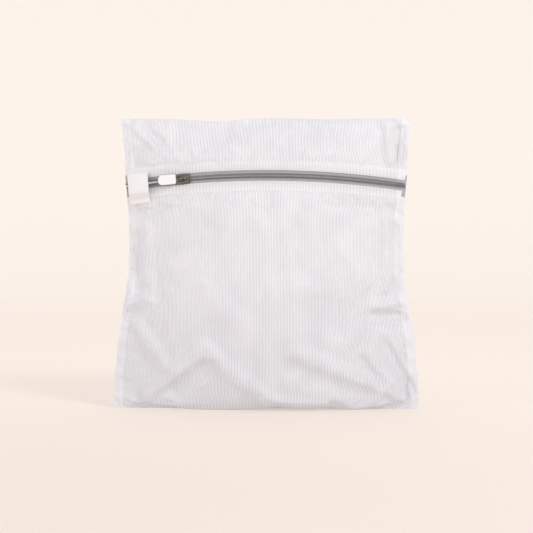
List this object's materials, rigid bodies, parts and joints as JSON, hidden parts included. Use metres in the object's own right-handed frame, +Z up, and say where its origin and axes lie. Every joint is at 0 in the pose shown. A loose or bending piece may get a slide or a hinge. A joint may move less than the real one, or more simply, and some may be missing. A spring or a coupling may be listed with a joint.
{
  "type": "mesh laundry bag",
  "caption": "Square fine-mesh wash bag, filled out and standing on its bottom fold, with a zip across the front, a slider with a pull tag and an elastic garage band.",
  "frame": {"origin": "on the floor, under the middle of the bag's width and depth", "axes": "+Z up towards the top fold, +X to the right along the width, and the zipped front faces -Y"},
  "size_m": [0.3036, 0.0732, 0.289],
  "materials": {
    "mesh_cloth": "fine white polyester net, slightly glossy and partly see-through",
    "hem_cloth": "the same net doubled, so denser and whiter",
    "zip_tape": "mid-grey woven polyester tape with a fine herringbone",
    "zip_coil": "dark grey nylon coil, satin",
    "elastic": "white ribbed elastic webbing",
    "slider_metal": "gunmetal plating with worn bronze edges",
    "tag_plastic": "soft white moulded plastic",
    "thread": "white polyester sewing thread"
  },
  "bodies": {
    "bag": {"front_panel": "mesh_cloth", "top_flap": "mesh_cloth", "back_panel": "mesh_cloth", "upper_hem": "hem_cloth", "lower_hem": "hem_cloth", "left_seam_allowance": "hem_cloth", "right_seam_allowance": "hem_cloth", "upper_tape": "zip_tape", "lower_tape": "zip_tape", "upper_coil": "zip_coil", "lower_coil": "zip_coil", "upper_coil_cord": "thread", "lower_coil_cord": "thread", "zip_garage": "elastic", "upper_hem_stitch": "thread", "lower_hem_stitch": "thread", "garage_stitch": "thread", "left_seam_stitch": "thread", "right_seam_stitch": "thread", "left_overlock": "thread", "right_overlock": "thread"},
    "slider": {"slider_body": "slider_metal"},
    "pull": {"pull_link": "slider_metal", "pull_tag": "tag_plastic"}
  },
  "joints": [
    {"name": "slider_run", "type": "hinge", "parent": "bag", "child": "slider", "pos_m": [0, 0.35132, 0.06128], "axis": [0, 0.4138, 0.9104], "range_deg": [-4.2, 29.3]},
    {"name": "pull_swing", "type": "hinge", "parent": "slider", "child": "pull", "pos_m": [-0.08092, -0.02135, 0.22894], "axis": [-0.0615, 0.11, 0.992], "range_deg": [0, 175]}
  ]
}
